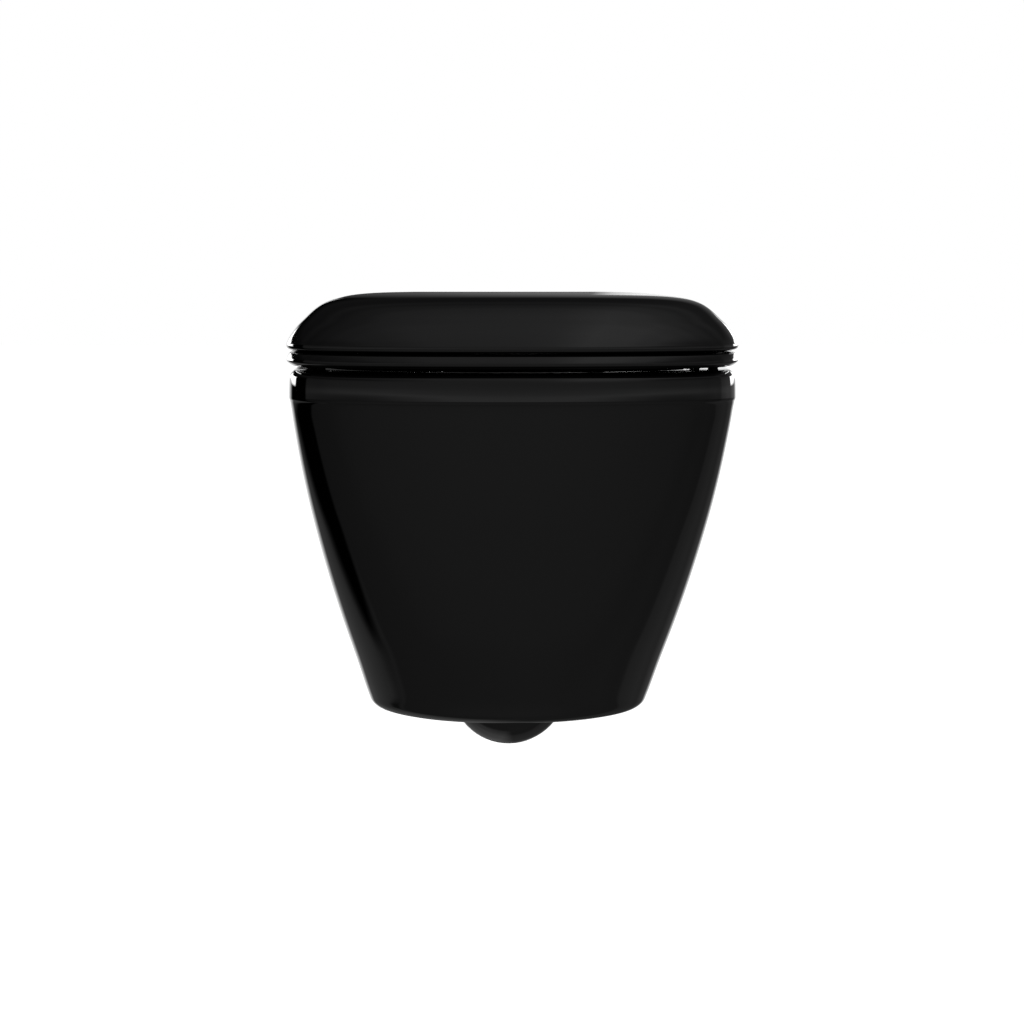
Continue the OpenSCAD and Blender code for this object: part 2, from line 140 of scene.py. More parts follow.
# brightness of the studio that the gloss mirrors, along one axis of the direction looked in, as
# (place, value): X runs to the right, Y to the wall and Z up. STUDIO_MIX multiplies and adds the parts.
STUDIO = {
    "height": ("Z", [
        (-1, 0.22), (-0.6, 0.2), (-0.2, 0.165), (-0.07, 0.135), (-0.03, 0.44), (0, 0.33), (0.05, 0.25),
        (0.12, 0.22), (0.2, 0.24), (0.6, 0.3), (1, 0.3),
    ]),
    "is_high": ("Z", [(0.13, 0), (0.3, 1)]),
    "is_low": ("Z", [(0.13, 1), (0.3, 0)]),
    "is_under": ("Z", [(-0.1, 1), (-0.05, 0)]),
    "high_across": ("X", [
        (-1, 0.3), (-0.82, 0.4), (-0.71, 0.58), (-0.57, 0.67), (-0.44, 0.8), (-0.33, 0.92), (-0.2, 0.95),
        (0, 1.0), (0.11, 1.15), (0.19, 1.4), (0.27, 1.65), (0.5, 1.55), (0.6, 1.3), (0.68, 1.2),
        (0.76, 0.9), (0.85, 0.55), (1, 0.4),
    ]),
    "high_back": ("Y", [
        (-1, 1), (-0.3, 1), (0, 0.87), (0.18, 0.66), (0.29, 0.56), (0.4, 0.38), (0.5, 0.3), (0.62, 0.17),
        (0.72, 0.16), (0.8, 0.08), (0.87, 0.06), (0.95, 0.05), (1, 0.05),
    ]),
    "is_left": ("X", [(-0.05, 1), (0.05, 0)]),
    "is_right": ("X", [(-0.05, 0), (0.05, 1)]),
    "low_left": ("Y", [
        (-1, 1.1), (-0.7, 1.05), (-0.1, 0.75), (0.14, 0.58), (0.34, 0.4), (0.5, 0.3), (0.63, 0.22),
        (0.665, 0), (1, 0),
    ]),
    "low_right": ("Y", [
        (-1, 1.1), (-0.7, 1.05), (-0.1, 0.75), (0.14, 0.6), (0.34, 0.42), (0.5, 0.34), (0.6, 0.26),
        (0.64, 0.25), (0.67, 0.37), (0.8, 0.35), (0.86, 0.27), (0.93, 0.45), (1, 0.6),
    ]),
    "left_edge": ("slant", [
        (-1, 0), (0.853, 0), (0.868, 0.12), (0.885, 0.42), (0.92, 0.5), (0.94, 0.65), (1, 0.9),
    ]),
    "is_deep": ("Z", [(-0.56, 1), (-0.48, 0)]),
    "deep_back": ("Y", [(-1, 0), (0.6, 0), (0.66, 0.2), (0.74, 0.2), (0.8, 0), (1, 0)]),
    "backdrop": ("Y", [(0.94, 0), (0.985, 1)]),
    "beside": ("X", [(-0.05, 1), (-0.04, 0), (0.04, 0), (0.05, 1)]),
    "backdrop_rows": ("Z", [(-0.4, 0), (-0.2, 1), (0.06, 1), (0.085, 0)]),
    "window": ("Y", [(0.85, 0), (0.88, 1), (0.985, 1), (0.99, 0)]),
    "window_columns": ("X", [
        (-0.5, 0), (-0.47, 1), (-0.2, 1), (-0.17, 0), (0.17, 0), (0.2, 1), (0.47, 1), (0.5, 0),
    ]),
    "window_rows": ("Z", [(-0.012, 0), (-0.004, 1), (0.1, 1), (0.12, 0)]),
}
WINDOW_GAIN = 4.0
# how the parts make the studio, in order, as (result, operation, its two or three sources)
STUDIO_MIX = [
    ("high", "MULTIPLY", "high_across", "high_back"),
    ("left_part", "MULTIPLY", "low_left", "is_left"),
    ("right_part", "MULTIPLY", "low_right", "is_right"),
    ("left_side", "MULTIPLY", "left_edge", "is_left"),
    ("left_under", "MULTIPLY", "left_side", "is_under"),
    ("deep_side", "MULTIPLY", "deep_back", "is_left"),
    ("deep_part", "MULTIPLY", "deep_side", "is_deep"),
    ("sides", "ADD", "left_part", "right_part"),
    ("under", "ADD", "left_under", "deep_part"),
    ("low", "ADD", "sides", "under"),
    ("high_share", "MULTIPLY", "high", "is_high"),
    ("low_share", "MULTIPLY", "low", "is_low"),
    ("around", "ADD", "high_share", "low_share"),
    ("studio", "MULTIPLY", "height", "around"),
    ("backdrop_beside", "MULTIPLY", "backdrop", "beside"),
    ("backdrop_part", "MULTIPLY", "backdrop_beside", "backdrop_rows"),
    ("window_beside", "MULTIPLY", "window", "window_rows"),
    ("window_part", "MULTIPLY", "window_beside", "window_columns"),
    ("window_light", "MULTIPLY_ADD", "window_part", WINDOW_GAIN, "studio"),
    ("all", "MAXIMUM", "window_light", "backdrop_part"),
]
# distance to the side and from the wall in mm of the rubber pads on the right
SEAT_PADS = [(161, -385), (161, -165)]
LID_PADS = [(118, -462), (144, -180)]


def srgb(code):
    """Turns a hex sRGB colour into linear RGBA."""
    parts = [int(code[i:i + 2], 16) / 255 for i in (1, 3, 5)]
    return [p / 12.92 if p <= 0.04045 else ((p + 0.055) / 1.055) ** 2.4 for p in parts] + [1.0]


# ---------------------------------------------------------------- shapes


def eased(rows, steps):
    """Fills smooth rows between the given ones, without overshoot, keeping every given row."""
    out = []
    last = len(rows) - 1
    slopes = []
    for c in range(len(rows[0])):
        d = [rows[i + 1][c] - rows[i][c] for i in range(last)]
        inner = [0 if a * b <= 0 else 2 * a * b / (a + b) for a, b in zip(d, d[1:])]
        slopes.append([d[0], *inner, d[-1]])
    for i in range(last):
        for k in range(steps):
            t = k / steps
            a, b = rows[i], rows[i + 1]
            out.append(tuple(
                (1 + 2 * t) * (1 - t) ** 2 * a[c] + t * (1 - t) ** 2 * slopes[c][i]
                + t * t * (3 - 2 * t) * b[c] + t * t * (t - 1) * slopes[c][i + 1]
                for c in range(len(a))
            ))
    out.append(rows[-1])
    return out


def bend(v, power):
    return math.copysign(abs(v) ** (2 / power), v)


def plan(w, back, front, side, power, z, arc, corner=0.0):
    """A D shaped loop in mm, seen from above: flat at the back, rounded at the front."""
    loop = []
    turns = 8 if corner else 0
    for i in range(turns + 1):
        a = math.pi / 2 * i / turns if turns else 0
        loop.append((w - corner + corner * math.sin(a), -back - corner + corner * math.cos(a), z))
    for i in range(arc + 1):
        t = math.pi * i / arc
        loop.append((w * bend(math.cos(t), power), -side - (front - side) * abs(bend(math.sin(t), power)), z))
    for i in range(turns + 1):
        a = math.pi / 2 * (1 - i / turns) if turns else 0
        loop.append((-(w - corner + corner * math.sin(a)), -back - corner + corner * math.cos(a), z))
    return loop


def oval(w, l, centre, power, z, count):
    """A rounded loop in mm about a centre on the middle plane."""
    return [
        (w * bend(math.cos(t), power), -centre + l * bend(math.sin(t), power), z)
        for t in (-2 * math.pi * i / count for i in range(count))
    ]


def new_object(name, mesh):
    obj = bpy.data.objects.new(name, mesh)
    bpy.context.scene.collection.objects.link(obj)
    return obj


def from_bmesh(name, bm):
    bmesh.ops.recalc_face_normals(bm, faces=bm.faces)
    mesh = bpy.data.meshes.new(name)
    bm.to_mesh(mesh)
    bm.free()
    return new_object(name, mesh)


def loft(name, rings):
    """Skins a stack of equal loops, given in mm, and closes both ends."""
    bm = bmesh.new()
    made = [[bm.verts.new(Vector(p) * MM) for p in ring] for ring in rings]
    n = len(rings[0])
    for low, high in zip(made, made[1:]):
        for i in range(n):
            bm.faces.new((low[i], low[(i + 1) % n], high[(i + 1) % n], high[i]))
    bm.faces.new(made[0])
    bm.faces.new(made[-1])
    bmesh.ops.triangulate(bm, faces=[f for f in bm.faces if len(f.verts) > 4])
    return from_bmesh(name, bm)


def rod(name, radius, start, end, segments=96):
    """A closed round bar between two points, in mm."""
    a, b = Vector(start) * MM, Vector(end) * MM
    bm = bmesh.new()
    turn = (b - a).to_track_quat("Z", "Y").to_matrix().to_4x4()
    bmesh.ops.create_cone(
        bm, cap_ends=True, segments=segments, radius1=radius * MM, radius2=radius * MM, depth=(b - a).length,
        matrix=Matrix.Translation((a + b) / 2) @ turn,
    )
    return from_bmesh(name, bm)


def block(name, low, high):
    """A closed box between two corners, in mm."""
    a, b = Vector(low) * MM, Vector(high) * MM
    bm = bmesh.new()
    bmesh.ops.create_cube(bm, size=1, matrix=Matrix.Translation((a + b) / 2) @ Matrix.Diagonal((*(b - a), 1)))
    return from_bmesh(name, bm)


def tube(name, path, radius, segments=64):
    """A closed round tube along (distance from wall, height, growth) points, in mm."""
    rings = []
    for i, (d, z, grow) in enumerate(path):
        p, q = path[max(i - 1, 0)], path[min(i + 1, len(path) - 1)]
        length = math.hypot(q[0] - p[0], q[1] - p[1])
        u, v = (q[0] - p[0]) / length, (q[1] - p[1]) / length
        r = radius + grow
        rings.append([
            (r * math.cos(t), -(d + r * math.sin(t) * v), z - r * math.sin(t) * u)
            for t in (2 * math.pi * k / segments for k in range(segments))
        ])
    return loft(name, rings)


def both(maker, name, *args):
    """Makes a shape and its mirror image across the middle plane."""
    made = [maker(name, *args)]
    twin = bpy.data.meshes.new(name)
    bm = bmesh.new()
    bm.from_mesh(made[0].data)
    bmesh.ops.scale(bm, vec=(-1, 1, 1), verts=bm.verts)
    bmesh.ops.recalc_face_normals(bm, faces=bm.faces)
    bm.to_mesh(twin)
    bm.free()
    return made + [new_object(name, twin)]


def carve(base, steps):
    """Joins and cuts closed shapes in order: each step is (operation, shapes)."""
    used = []
    for operation, shapes in steps:
        for tool in shapes:
            m = base.modifiers.new("shape", "BOOLEAN")
            m.operation = operation
            m.solver = "MANIFOLD"
            m.object = tool
            used.append(tool)
    settle(base)
    for tool in used:
        bpy.data.objects.remove(tool)


def settle(obj):
    """Bakes the modifiers into the mesh and takes them off."""
    bpy.context.view_layer.update()
    done = bpy.data.meshes.new_from_object(obj.evaluated_get(bpy.context.evaluated_depsgraph_get()))
    obj.modifiers.clear()
    old = obj.data
    obj.data = done
    if old.users == 0:
        bpy.data.meshes.remove(old)


def smooth(obj, degrees=28):
    """Merges stray points and shades the surface smoothly up to an edge angle."""
    bm = bmesh.new()
    bm.from_mesh(obj.data)
    bmesh.ops.remove_doubles(bm, verts=bm.verts, dist=1e-6)
    bmesh.ops.dissolve_degenerate(bm, edges=bm.edges, dist=1e-6)
    bm.to_mesh(obj.data)
    bm.free()
    obj.data.shade_smooth()
    obj.data.set_sharp_from_angle(angle=math.radians(degrees))


def finish_piece(obj, mat, body, slot, *nodes):
    """Gives a piece its material and its body, and hides the nodes it stands for; its slot is not used."""
    obj.data.materials.clear()
    obj.data.materials.append(mat)
    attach(obj, body)
    if nodes:
        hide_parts(*nodes)


# ---------------------------------------------------------------- materials


def add_node(tree, kind, links=None, **settings):
    """Adds a node, sets its fields and input values, and links its inputs by name or place."""
    node = tree.nodes.new(kind)
    for key, value in settings.items():
        if hasattr(node, key):
            setattr(node, key, value)
        else:
            node.inputs[key.replace("_", " ").title()].default_value = value
    for name, source in (links or {}).items():
        tree.links.new(source, node.inputs[name])
    return node


# nearly all of a noise texture's values lie between these two
NOISE_LOW, NOISE_HIGH = 0.3, 0.7


def surface(name, values, relief, gloss):
    """A material with its shader's own values, a relief in mm and a roughness that drifts between two values.

    relief is (feature size, detail, height, strength), gloss is (feature size, detail, lowest, highest)."""
    mat = bpy.data.materials.new(name)
    mat.use_nodes = True
    tree = mat.node_tree
    shader = tree.nodes["Principled BSDF"]
    for key, value in values.items():
        shader.inputs[key].default_value = value
    where = add_node(tree, "ShaderNodeTexCoord").outputs["Object"]
    size, detail, height, strength = relief
    hills = add_node(tree, "ShaderNodeTexNoise", {"Vector": where}, Scale=1000 / size, Detail=detail)
    bump = add_node(
        tree, "ShaderNodeBump", {"Height": hills.outputs["Fac"]}, Distance=height * MM, Strength=strength,
    )
    tree.links.new(bump.outputs["Normal"], shader.inputs["Normal"])
    size, detail, low, high = gloss
    haze = add_node(tree, "ShaderNodeTexNoise", {"Vector": where}, Scale=1000 / size, Detail=detail)
    drift = add_node(
        tree, "ShaderNodeMapRange", {"Value": haze.outputs["Fac"]},
        From_Min=NOISE_LOW, From_Max=NOISE_HIGH, To_Min=low, To_Max=high,
    )
    tree.links.new(drift.outputs["Result"], shader.inputs["Roughness"])
    return mat


def glazed_china(colour):
    """Vitreous china under a fired black glaze: mirror gloss with the faint ripple of poured glaze."""
    return surface(
        "Vitreous China, Black Glaze", {"Base Color": colour, "IOR": 1.52},
        relief=(42, 1, 0.02, 0.25), gloss=(90, 3, 0.03, 0.05),
    )


def duroplast(colour):
    """Urea duroplast, compression moulded and polished: hard gloss, a little softer than glaze."""
    return surface(
        "Urea Duroplast, Polished", {"Base Color": colour, "IOR": 1.55},
        relief=(60, 1, 0.015, 0.25), gloss=(60, 4, 0.04, 0.07),
    )


def epdm_rubber():
    """EPDM rubber, moulded: matt black with a fine soft grain."""
    return surface(
        "EPDM Rubber", {"Base Color": srgb("#1b1b1b"), "IOR": 1.5},
        relief=(0.6, 4, 0.03, 0.5), gloss=(0.6, 4, 0.6, 0.78),
    )


def chrome_plate():
    """Chromed zinc: bright mirror plate with faint polishing haze."""
    return surface(
        "Chromed Zinc", {"Base Color": srgb("#d9dbdd"), "Metallic": 1.0},
        relief=(18, 2, 0.01, 0.2), gloss=(12, 5, 0.05, 0.11),
    )


def turned_steel():
    """Stainless steel turned on a lathe: a soft sheen over fine tool marks."""
    return surface(
        "Stainless Steel, Turned", {"Base Color": srgb("#b9babb"), "Metallic": 1.0},
        relief=(0.8, 3, 0.01, 0.4), gloss=(0.8, 3, 0.22, 0.34),
    )


def turned_brass():
    """Free-cutting brass, turned: warm yellow with fine tool marks."""
    return surface(
        "Brass, Turned", {"Base Color": srgb("#c9a35a"), "Metallic": 1.0},
        relief=(0.8, 3, 0.01, 0.4), gloss=(0.8, 3, 0.25, 0.38),
    )


def natural_nylon():
    """Nylon 6, injection moulded: milky white, waxy, with a light spark-eroded grain."""
    return surface(
        "Nylon 6, Natural", {"Base Color": srgb("#cfcabd"), "IOR": 1.53},
        relief=(0.9, 4, 0.02, 0.4), gloss=(0.9, 4, 0.38, 0.52),
    )


def black_abs():
    """ABS, injection moulded: satin black with a fine grain that breaks up its shine."""
    return surface(
        "ABS, Black", {"Base Color": srgb("#0b0b0c"), "IOR": 1.54},
        relief=(0.7, 4, 0.02, 0.4), gloss=(0.7, 4, 0.38, 0.52),
    )


MADE = {}


def material(key, maker, *args):
    """Makes each material once."""
    if key not in MADE:
        MADE[key] = maker(*args)
    return MADE[key]


def coat_node(name, mat):
    """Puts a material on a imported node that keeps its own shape."""
    obj = frame["nodes"][name]
    obj.data.materials.clear()
    obj.data.materials.append(mat)


# ---------------------------------------------------------------- repeated shapes


def pad_tree():
    """Geometry Nodes tree that sets a round pad with a drawn-in foot on every point."""
    tree = bpy.data.node_groups.new("rubber_pads", "GeometryNodeTree")
    tree.interface.new_socket("Places", in_out="INPUT", socket_type="NodeSocketGeometry")
    for name in ("Radius", "Height", "Taper"):
        tree.interface.new_socket(name, in_out="INPUT", socket_type="NodeSocketFloat")
    tree.interface.new_socket("Rubber", in_out="INPUT", socket_type="NodeSocketMaterial")
    tree.interface.new_socket("Pads", in_out="OUTPUT", socket_type="NodeSocketGeometry")
    given = add_node(tree, "NodeGroupInput").outputs
    outline = add_node(tree, "GeometryNodeCurvePrimitiveCircle", {"Radius": given["Radius"]}, Resolution=40)
    face = add_node(tree, "GeometryNodeFillCurve", {"Curve": outline.outputs[0]}, mode="NGONS")
    half = add_node(tree, "ShaderNodeMath", {0: given["Height"]}, operation="MULTIPLY")
    half.inputs[1].default_value = 0.5
    lift = add_node(tree, "ShaderNodeCombineXYZ", {"Z": half.outputs[0]})
    foot = add_node(tree, "GeometryNodeScaleElements", {"Geometry": face.outputs[0], "Scale": given["Taper"]})
    wall = add_node(tree, "GeometryNodeExtrudeMesh", {
        "Mesh": foot.outputs[0], "Offset": lift.outputs[0],
    }, mode="FACES")
    spread = add_node(tree, "ShaderNodeMath", {1: given["Taper"]}, operation="DIVIDE")
    spread.inputs[0].default_value = 1.0
    belly = add_node(tree, "GeometryNodeScaleElements", {
        "Geometry": wall.outputs["Mesh"], "Selection": wall.outputs["Top"], "Scale": spread.outputs[0],
    })
    crown = add_node(tree, "GeometryNodeExtrudeMesh", {
        "Mesh": belly.outputs[0], "Selection": wall.outputs["Top"], "Offset": lift.outputs[0],
    }, mode="FACES")
    underside = add_node(tree, "GeometryNodeFlipFaces", {"Mesh": foot.outputs[0]})
    whole = add_node(tree, "GeometryNodeJoinGeometry", {0: crown.outputs["Mesh"]})
    tree.links.new(underside.outputs[0], whole.inputs[0])
    closed = add_node(tree, "GeometryNodeMergeByDistance", {"Geometry": whole.outputs[0]}, Distance=1e-5)
    placed = add_node(tree, "GeometryNodeInstanceOnPoints", {
        "Points": given["Places"], "Instance": closed.outputs[0],
    })
    real = add_node(tree, "GeometryNodeRealizeInstances", {0: placed.outputs[0]})
    painted = add_node(tree, "GeometryNodeSetMaterial", {
        "Geometry": real.outputs[0], "Material": given["Rubber"],
    })
    add_node(tree, "NodeGroupOutput", {0: painted.outputs[0]})
    return tree


def scatter(name, tree, spots, values):
    """Runs a Geometry Nodes tree over points, in metres, and keeps the plain mesh."""
    mesh = bpy.data.meshes.new(name)
    mesh.from_pydata(spots, [], [])
    obj = new_object(name, mesh)
    maker = obj.modifiers.new("maker", "NODES")
    maker.node_group = tree
    sockets = {i.name: i.identifier for i in tree.interface.items_tree if i.in_out == "INPUT"}
    for key, value in values.items():
        maker[sockets[key]] = value
    settle(obj)
    return obj


# ---------------------------------------------------------------- settings


class PanSettings(bpy.types.PropertyGroup):
    depth: FloatProperty(
        name="Depth", description="Depth of the pan below the rim", default=0.297, unit="LENGTH")
    squareness: FloatProperty(
        name="Squareness", description="Power of the plan's outline, 2 is an ellipse",
        default=2.6, min=2, max=4)
    arc: IntProperty(
        name="Front Steps", description="Steps round the front of the pan", default=128, min=32, max=200)
    rows: IntProperty(
        name="Height Steps", description="Steps between two shape rows", default=4, min=1, max=8)
    glaze: FloatVectorProperty(
        name="Glaze", description="Colour of the fired glaze",
        subtype="COLOR", size=4, default=srgb("#060607"))


class SeatSettings(bpy.types.PropertyGroup):
    opening_width: FloatProperty(
        name="Opening Half Width", description="Half width of the hole in the seat",
        default=0.112, unit="LENGTH")
    opening_length: FloatProperty(
        name="Opening Half Length", description="Half length of the hole in the seat",
        default=0.142, unit="LENGTH")
    corner: FloatProperty(
        name="Rear Corner", description="Radius of the rear corners", default=0.009, unit="LENGTH")
    resin: FloatVectorProperty(
        name="Resin", description="Colour of the moulded resin",
        subtype="COLOR", size=4, default=srgb("#070708"))


class PadSettings(bpy.types.PropertyGroup):
    seat_radius: FloatProperty(
        name="Seat Pad Radius", description="Radius of a pad under the seat", default=0.0045, unit="LENGTH")
    lid_radius: FloatProperty(
        name="Lid Pad Radius", description="Radius of a pad under the lid", default=0.0055, unit="LENGTH")
    seat_height: FloatProperty(
        name="Seat Pad Height", description="Gap that the seat's pads hold", default=0.00255, unit="LENGTH")
    lid_height: FloatProperty(
        name="Lid Pad Height", description="Gap that the lid's pads hold", default=0.0029, unit="LENGTH")
    taper: FloatProperty(
        name="Taper", description="Share that a pad keeps of its size at the pressed face",
        default=0.9, min=0.5, max=1)


class StageSettings(bpy.types.PropertyGroup):
    floor_drop: FloatProperty(
        name="Floor Drop", description="Height of the rim above the floor", default=0.40, unit="LENGTH")
    floor_half: FloatProperty(
        name="Floor Half Size", description="Half the floor's width", default=20.0, unit="LENGTH")
    floor_glow: FloatProperty(
        name="Floor Light", description="How far the floor is lit towards white", default=0.96, min=0, max=2)
    camera_distance: FloatProperty(
        name="Camera Distance", description="Distance from the widest part of the pan",
        default=3.0, unit="LENGTH")
    camera_turn: FloatProperty(
        name="Camera Turn", description="How far the camera stands to the left", default=math.radians(1.1),
        unit="ROTATION")
    camera_height: FloatProperty(
        name="Camera Height", description="Height of the camera above the rim", default=0.079, unit="LENGTH")
    camera_pitch: FloatProperty(
        name="Camera Pitch", description="How far the camera looks down", default=math.radians(3.74),
        unit="ROTATION")
    lens: FloatProperty(name="Lens", description="Focal length", default=130.2, unit="CAMERA")


# ---------------------------------------------------------------- operators


def trap_path():
    """The trap's middle line in mm: round the low bend, over the weir and down to the outlet.

    Each point is (distance from the wall, height, growth of the radius)."""
    low_turns = [math.radians(75 - 7.5 * i) for i in range(23)]
    weir_turns = [math.radians(15 * i) for i in range(1, 7)]
    back, up, radius = LOW_BEND
    path = [(back + radius * math.sin(a), up - radius * math.cos(a), 0) for a in low_turns]
    back, up, radius = WEIR_BEND
    path += [
        (back + radius * math.cos(a), up + radius * math.sin(a), -math.degrees(a) / 30) for a in weir_turns
    ]
    return path + TRAP_RUN_OUT


class TOILET_OT_pan(bpy.types.Operator):
    """Builds the glazed pan with its bowl, trap, inlet, outlet and fixing holes"""

    bl_idname = "toilet.pan"
    bl_label = "Pan"

    def execute(self, context):
        s = context.scene.toilet_pan
        rim, depth, arc = RIM / MM, s.depth / MM, s.arc
        half = PAN_HIGH[0] / MM
        length = -PAN_LOW[1] / MM
        rings = [
            plan(half - inset, 0, length - pull, side, s.squareness - SQUARENESS_DROP * share,
                 rim - depth * share, arc)
            for share, inset, pull, side in eased(PAN_ROWS, s.rows)
        ]
        pan = loft("pan_glazed", rings)
        cavity = loft("cavity", [
            plan(half - inset, -1, length - pull, side, s.squareness - SQUARENESS_DROP * share,
                 rim - max(depth * share, DECK), 64)
            for share, inset, pull, side in CAVITY_ROWS
        ])
        bowl = loft("bowl", [
            oval(BOWL_HALF * w, BOWL_LONG * l, centre, s.squareness, z, 160)
            for z, w, l, centre in eased(BOWL_ROWS, s.rows)
        ])
        bowl_back = loft("bowl_back", [
            oval(BOWL_HALF * w + BOWL_WALL, BOWL_LONG * l + BOWL_WALL, centre, s.squareness,
                 z - (BOWL_WALL if z < BOWL_STRAIGHT else 0), 96)
            for z, w, l, centre in BOWL_ROWS if z < BOWL_LIP
        ])
        path = trap_path()
        web = half - BACK_WEB_INSET
        carve(pan, [
            ("DIFFERENCE", [cavity]),
            ("UNION", [
                bowl_back, tube("trap", path, TRAP_OUTER),
                rod("outlet", OUTLET_OUTER, (0, 0, OUTLET_UP), (0, -OUTLET_LONG, OUTLET_UP)),
                rod("inlet", INLET_OUTER, (0, 0, INLET_UP), (0, -INLET_LONG, INLET_UP)),
                block("back_web", (-web, -BACK_WEB_DEPTH, BACK_WEB_LOW), (web, 0, BACK_WEB_HIGH)),
                block("foot_web", (-FOOT_WEB_HALF, -FOOT_WEB_DEPTH, FOOT_WEB_LOW),
                      (FOOT_WEB_HALF, 0, FOOT_WEB_HIGH)),
                *both(rod, "lug", STUD_LUG, (STUD_SIDE, 0, 0), (STUD_SIDE, -STUD_LUG_LONG, 0)),
            ]),
            ("DIFFERENCE", [
                bowl, tube("trap_bore", path, TRAP_BORE),
                rod("outlet_bore", OUTLET_BORE, (0, 1, OUTLET_UP), (0, 4 - OUTLET_LONG, OUTLET_UP)),
                rod("inlet_bore", INLET_BORE, (0, 1, INLET_UP), (0, -INLET_BORE_LONG, INLET_UP)),
                rod("inlet_way", INLET_WAY, (0, 0, INLET_UP), (0, -INLET_WAY_LONG, INLET_UP)),
                *both(rod, "stud_hole", STUD_HOLE, (STUD_SIDE, 1, 0), (STUD_SIDE, -STUD_HOLE_LONG, 0)),
                *both(rod, "deck_hole", POST_HOLE, (POST_SIDE, -POST_BACK, POST_HOLE_LOW),
                      (POST_SIDE, -POST_BACK, POST_HOLE_HIGH)),
                *both(rod, "side_hole", PLUG_HOLE, (PLUG_HOLE_IN, -PLUG_BACK, 0),
                      (PLUG_HOLE_OUT, -PLUG_BACK, 0)),
            ]),
        ])
        smooth(pan)
        finish_piece(pan, material("china", glazed_china, s.glaze), "pan", "vitreous_china", "pan")
        return {"FINISHED"}


class TOILET_OT_seat(bpy.types.Operator):
    """Builds the seat ring with its hinge arms and bumper holes"""

    bl_idname = "toilet.seat"
    bl_label = "Seat Ring"

    def execute(self, context):
        s = context.scene.toilet_seat
        rim, half, length = RIM / MM, SEAT_HIGH[0] / MM, -SEAT_LOW[1] / MM
        power = context.scene.toilet_pan.squareness
        corner = s.corner / MM
        seat = loft("seat_moulded", [
            plan(half - inset, SEAT_REAR + inset, length - inset, STRAIGHT_SIDE, power, rim + z, 128, corner)
            for z, inset in eased(SEAT_ROWS, 2)
        ])
        w, l = s.opening_width / MM, s.opening_length / MM
        mouth = loft("mouth", [
            oval(w + grow - 1, l + grow - 1, SEAT_HOLE_CENTRE, SEAT_HOLE_SQUARENESS, rim + z, 160)
            for z, grow in eased(SEAT_LIP_ROWS, 3)
        ])
        back, up = HINGE[1] / MM, HINGE[2] / MM
        near, far = SEAT_ARM, SEAT_ARM + SEAT_ARM_LONG
        arms = [
            *both(rod, "knuckle", KNUCKLE, (near, back, up), (far, back, up)),
            *both(block, "arm", (near, back - 15.5, rim + 8), (far, back + 9, up)),
            *both(block, "foot", (near, back - 23, rim + 3.4), (far, back + 9, rim + 13.4)),
        ]
        bores = [
            rod("damper_bore", HINGE_BORE, (near - 1, back, up), (SEAT_DAMPER_END, back, up)),
            rod("bush_bore", HINGE_BORE, (-SEAT_BUSH_END, back, up), (1 - near, back, up)),
        ]
        for x, y in SEAT_PADS:
            bores += both(rod, "bumper_hole", PAD_HOLE, (x, y, rim), (x, y, rim + 8))
        carve(seat, [("UNION", arms), ("DIFFERENCE", [mouth, *bores])])
        smooth(seat)
        finish_piece(seat, material("duroplast", duroplast, s.resin), "seat", "duroplast", "seat_ring")
        return {"FINISHED"}


class TOILET_OT_lid(bpy.types.Operator):
    """Builds the domed lid shell with its hinge arms and bumper bosses"""

    bl_idname = "toilet.lid"
    bl_label = "Lid"

    def execute(self, context):
        s = context.scene.toilet_seat
        rim, half, length = RIM / MM, LID_HIGH[0] / MM, -LID_LOW[1] / MM
        power = context.scene.toilet_pan.squareness
        corner = s.corner / MM
        lid = loft("lid_moulded", [
            plan(half - inset, LID_REAR + LID_REAR_LEAN * inset, length - inset, STRAIGHT_SIDE, power,
                 rim + z, 128, corner)
            for z, inset in eased(LID_ROWS, 3)
        ])
        hollow = loft("hollow", [
            plan(half - inset, LID_HOLLOW_REAR + LID_REAR_LEAN * inset, length - inset, STRAIGHT_SIDE, power,
                 rim + z, 96)
            for z, inset in eased(LID_HOLLOW_ROWS, 2)
        ])
        back, up = HINGE[1] / MM, HINGE[2] / MM
        near, far = LID_ARM, LID_ARM + LID_ARM_LONG
        arms = [
            *both(rod, "knuckle", KNUCKLE, (near, back, up), (far, back, up)),
            *both(block, "arm", (near, -LID_HOLLOW_REAR, up - LID_ARM_THICK / 2),
                  (far, back, up + LID_ARM_THICK / 2)),
        ]
        bores = []
        for x, y in LID_PADS:
            arms += both(rod, "boss", BOSS, (x, y, rim + BOSS_LOW), (x, y, rim + BOSS_HIGH))
            bores += both(rod, "bumper_hole", PAD_HOLE, (x, y, rim + 16), (x, y, rim + 22))
        bores += [
            rod("damper_bore", HINGE_BORE, (-far - 1, back, up), (-LID_DAMPER_END, back, up)),
            rod("bush_bore", HINGE_BORE, (LID_BUSH_END, back, up), (far + 1, back, up)),
        ]
        carve(lid, [("DIFFERENCE", [hollow]), ("UNION", arms), ("DIFFERENCE", bores)])
        smooth(lid)
        finish_piece(lid, material("duroplast", duroplast, s.resin), "lid", "duroplast", "lid")
        return {"FINISHED"}


